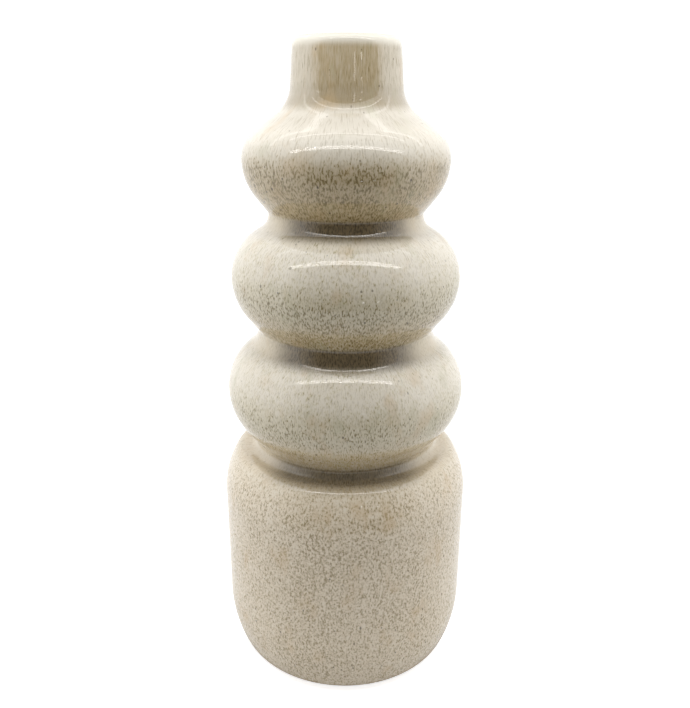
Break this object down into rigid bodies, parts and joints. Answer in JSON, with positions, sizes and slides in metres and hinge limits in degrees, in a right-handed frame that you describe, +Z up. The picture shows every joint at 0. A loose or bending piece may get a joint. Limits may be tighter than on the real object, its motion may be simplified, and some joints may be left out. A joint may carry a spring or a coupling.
{
  "type": "bottle vase",
  "caption": "Tall glazed stoneware bottle vase: a drum-shaped base, bulging rings that get smaller upwards, and a short open neck, on felt pads.",
  "frame": {"origin": "on the vase's axis, level with the undersides of the felt pads that it stands on", "axes": "+Z up along the axis, out of the mouth; the vase is round, so X and Y are free, and the pads lie between them at 45 degrees"},
  "size_m": [0.1228, 0.1228, 0.3012],
  "materials": {
    "bare_stoneware": "matte fired clay",
    "speckled_glaze": "glossy, speckled",
    "inside_glaze": "glossy",
    "felt": "felt"
  },
  "bodies": {
    "root": {"stoneware_body": "bare_stoneware", "outer_glaze": "speckled_glaze", "inner_glaze": "inside_glaze", "foot_pad_1": "felt", "foot_pad_2": "felt", "foot_pad_3": "felt", "foot_pad_4": "felt"}
  },
  "joints": []
}
